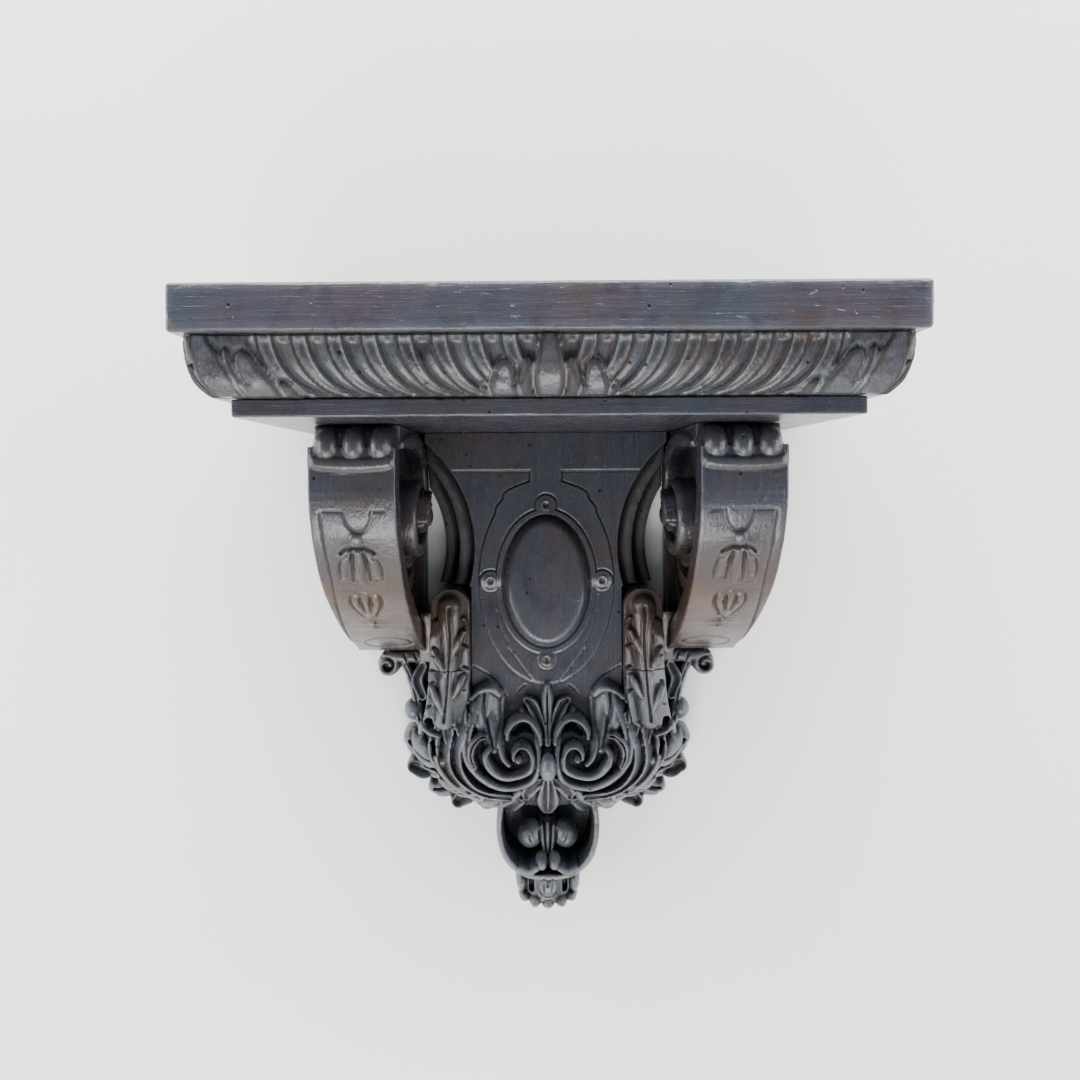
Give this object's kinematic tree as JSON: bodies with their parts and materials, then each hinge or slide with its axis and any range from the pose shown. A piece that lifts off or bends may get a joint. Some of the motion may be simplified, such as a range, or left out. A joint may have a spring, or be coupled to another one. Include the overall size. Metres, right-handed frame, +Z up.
{
  "type": "wooden corbel bracket",
  "caption": "Carved wooden wall bracket shelf: plain top board, gadrooned moulding, scroll brackets and an oval-boss panel over acanthus leaves and a pendant.",
  "frame": {"origin": "on the wall plane, on the flat back behind the middle of the oval boss", "axes": "+Z up, +X to the right as seen from the front, -Y out from the wall, so the flat back faces +Y"},
  "size_m": [0.4, 0.22, 0.423],
  "materials": {
    "board_wood": "dark stained and waxed, worn red-brown at the arrises",
    "carved_wood": "dark stained and waxed carving, rubbed light on its ridges"
  },
  "bodies": {
    "root": {"shelf_board": "board_wood", "gadroon_moulding": "carved_wood", "bed_board": "board_wood", "scroll_left": "carved_wood", "scroll_right": "carved_wood", "carved_body": "carved_wood"}
  },
  "joints": []
}
